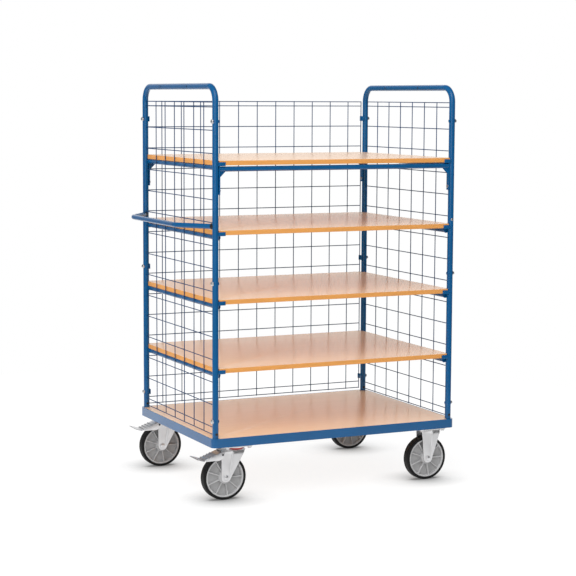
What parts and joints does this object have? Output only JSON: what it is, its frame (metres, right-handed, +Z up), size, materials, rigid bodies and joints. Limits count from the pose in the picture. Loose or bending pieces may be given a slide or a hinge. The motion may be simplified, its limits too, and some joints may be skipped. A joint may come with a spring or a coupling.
{
  "type": "shelf trolley",
  "caption": "Shelf trolley: steel platform on castors with tube hoops, wire mesh on three sides, wooden shelves and a push handle, for moving and storing goods.",
  "frame": {"origin": "on the floor under the middle of the trolley's outline, handle included", "axes": "+Z up; -X towards the push handle and the swivel castors; -Y towards the open front, +Y towards the back mesh"},
  "size_m": [1.309, 0.88, 1.8],
  "materials": {
    "blue_paint": "satin powder coat",
    "blue_wire": "satin powder coat",
    "wood_board": "matt wood-look board with a banded edge",
    "zinc_steel": "bright zinc plate",
    "grey_wheel": "moulded",
    "black_tyre": "matt rubber",
    "red_seal": "moulded",
    "black_plastic": "moulded"
  },
  "bodies": {
    "frame": {"platform_frame": "blue_paint", "deck_board": "wood_board", "left_cross_member": "blue_paint", "middle_cross_member": "blue_paint", "right_cross_member": "blue_paint", "left_hoop": "blue_paint", "right_hoop": "blue_paint", "shelf_board_1": "wood_board", "left_shelf_rail_1": "blue_paint", "right_shelf_rail_1": "blue_paint", "shelf_board_2": "wood_board", "left_shelf_rail_2": "blue_paint", "right_shelf_rail_2": "blue_paint", "shelf_board_3": "wood_board", "left_shelf_rail_3": "blue_paint", "right_shelf_rail_3": "blue_paint", "shelf_board_4": "wood_board", "left_shelf_rail_4": "blue_paint", "right_shelf_rail_4": "blue_paint", "front_shelf_lips": "blue_paint", "rear_shelf_lips": "blue_paint", "front_cross_tube": "blue_paint", "rear_cross_tube": "blue_paint", "left_mesh": "blue_wire", "right_mesh": "blue_wire", "back_mesh": "blue_wire", "mesh_clips": "blue_paint", "push_handle": "blue_paint", "handle_ferrules": "black_plastic", "front_swivel_head": "zinc_steel", "front_swivel_seal": "red_seal", "front_kingpin": "zinc_steel", "front_fixed_fork": "zinc_steel", "front_fixed_axle": "zinc_steel", "rear_swivel_head": "zinc_steel", "rear_swivel_seal": "red_seal", "rear_kingpin": "zinc_steel", "rear_fixed_fork": "zinc_steel", "rear_fixed_axle": "zinc_steel"},
    "front_swivel": {"front_swivel_fork": "zinc_steel", "front_swivel_axle": "zinc_steel"},
    "front_brake": {"front_brake_pedal": "zinc_steel", "front_brake_shoe": "black_plastic"},
    "front_swivel_wheel": {"front_swivel_tyre": "black_tyre", "front_swivel_wheel_core": "grey_wheel"},
    "front_fixed_wheel": {"front_fixed_tyre": "black_tyre", "front_fixed_wheel_core": "grey_wheel"},
    "rear_swivel": {"rear_swivel_fork": "zinc_steel", "rear_swivel_axle": "zinc_steel"},
    "rear_brake": {"rear_brake_pedal": "zinc_steel", "rear_brake_shoe": "black_plastic"},
    "rear_swivel_wheel": {"rear_swivel_tyre": "black_tyre", "rear_swivel_wheel_core": "grey_wheel"},
    "rear_fixed_wheel": {"rear_fixed_tyre": "black_tyre", "rear_fixed_wheel_core": "grey_wheel"}
  },
  "joints": [
    {"name": "front_castor_swivel", "type": "hinge", "parent": "frame", "child": "front_swivel", "pos_m": [-0.4155, -0.38, 0.22], "axis": [0, 0, 1], "continuous": true},
    {"name": "front_swivel_wheel_spin", "type": "hinge", "parent": "front_swivel", "child": "front_swivel_wheel", "pos_m": [-0.4705, -0.38, 0.1], "axis": [0, 1, 0], "continuous": true},
    {"name": "front_brake_press", "type": "hinge", "parent": "front_swivel", "child": "front_brake", "pos_m": [-0.4865, -0.38, 0.203], "axis": [0, -1, 0], "range_deg": [0, 7]},
    {"name": "front_fixed_wheel_spin", "type": "hinge", "parent": "frame", "child": "front_fixed_wheel", "pos_m": [0.5345, -0.38, 0.1], "axis": [0, 1, 0], "continuous": true},
    {"name": "rear_castor_swivel", "type": "hinge", "parent": "frame", "child": "rear_swivel", "pos_m": [-0.4155, 0.38, 0.22], "axis": [0, 0, 1], "continuous": true},
    {"name": "rear_swivel_wheel_spin", "type": "hinge", "parent": "rear_swivel", "child": "rear_swivel_wheel", "pos_m": [-0.4705, 0.38, 0.1], "axis": [0, 1, 0], "continuous": true},
    {"name": "rear_brake_press", "type": "hinge", "parent": "rear_swivel", "child": "rear_brake", "pos_m": [-0.4865, 0.38, 0.203], "axis": [0, -1, 0], "range_deg": [0, 7]},
    {"name": "rear_fixed_wheel_spin", "type": "hinge", "parent": "frame", "child": "rear_fixed_wheel", "pos_m": [0.5345, 0.38, 0.1], "axis": [0, 1, 0], "continuous": true}
  ]
}
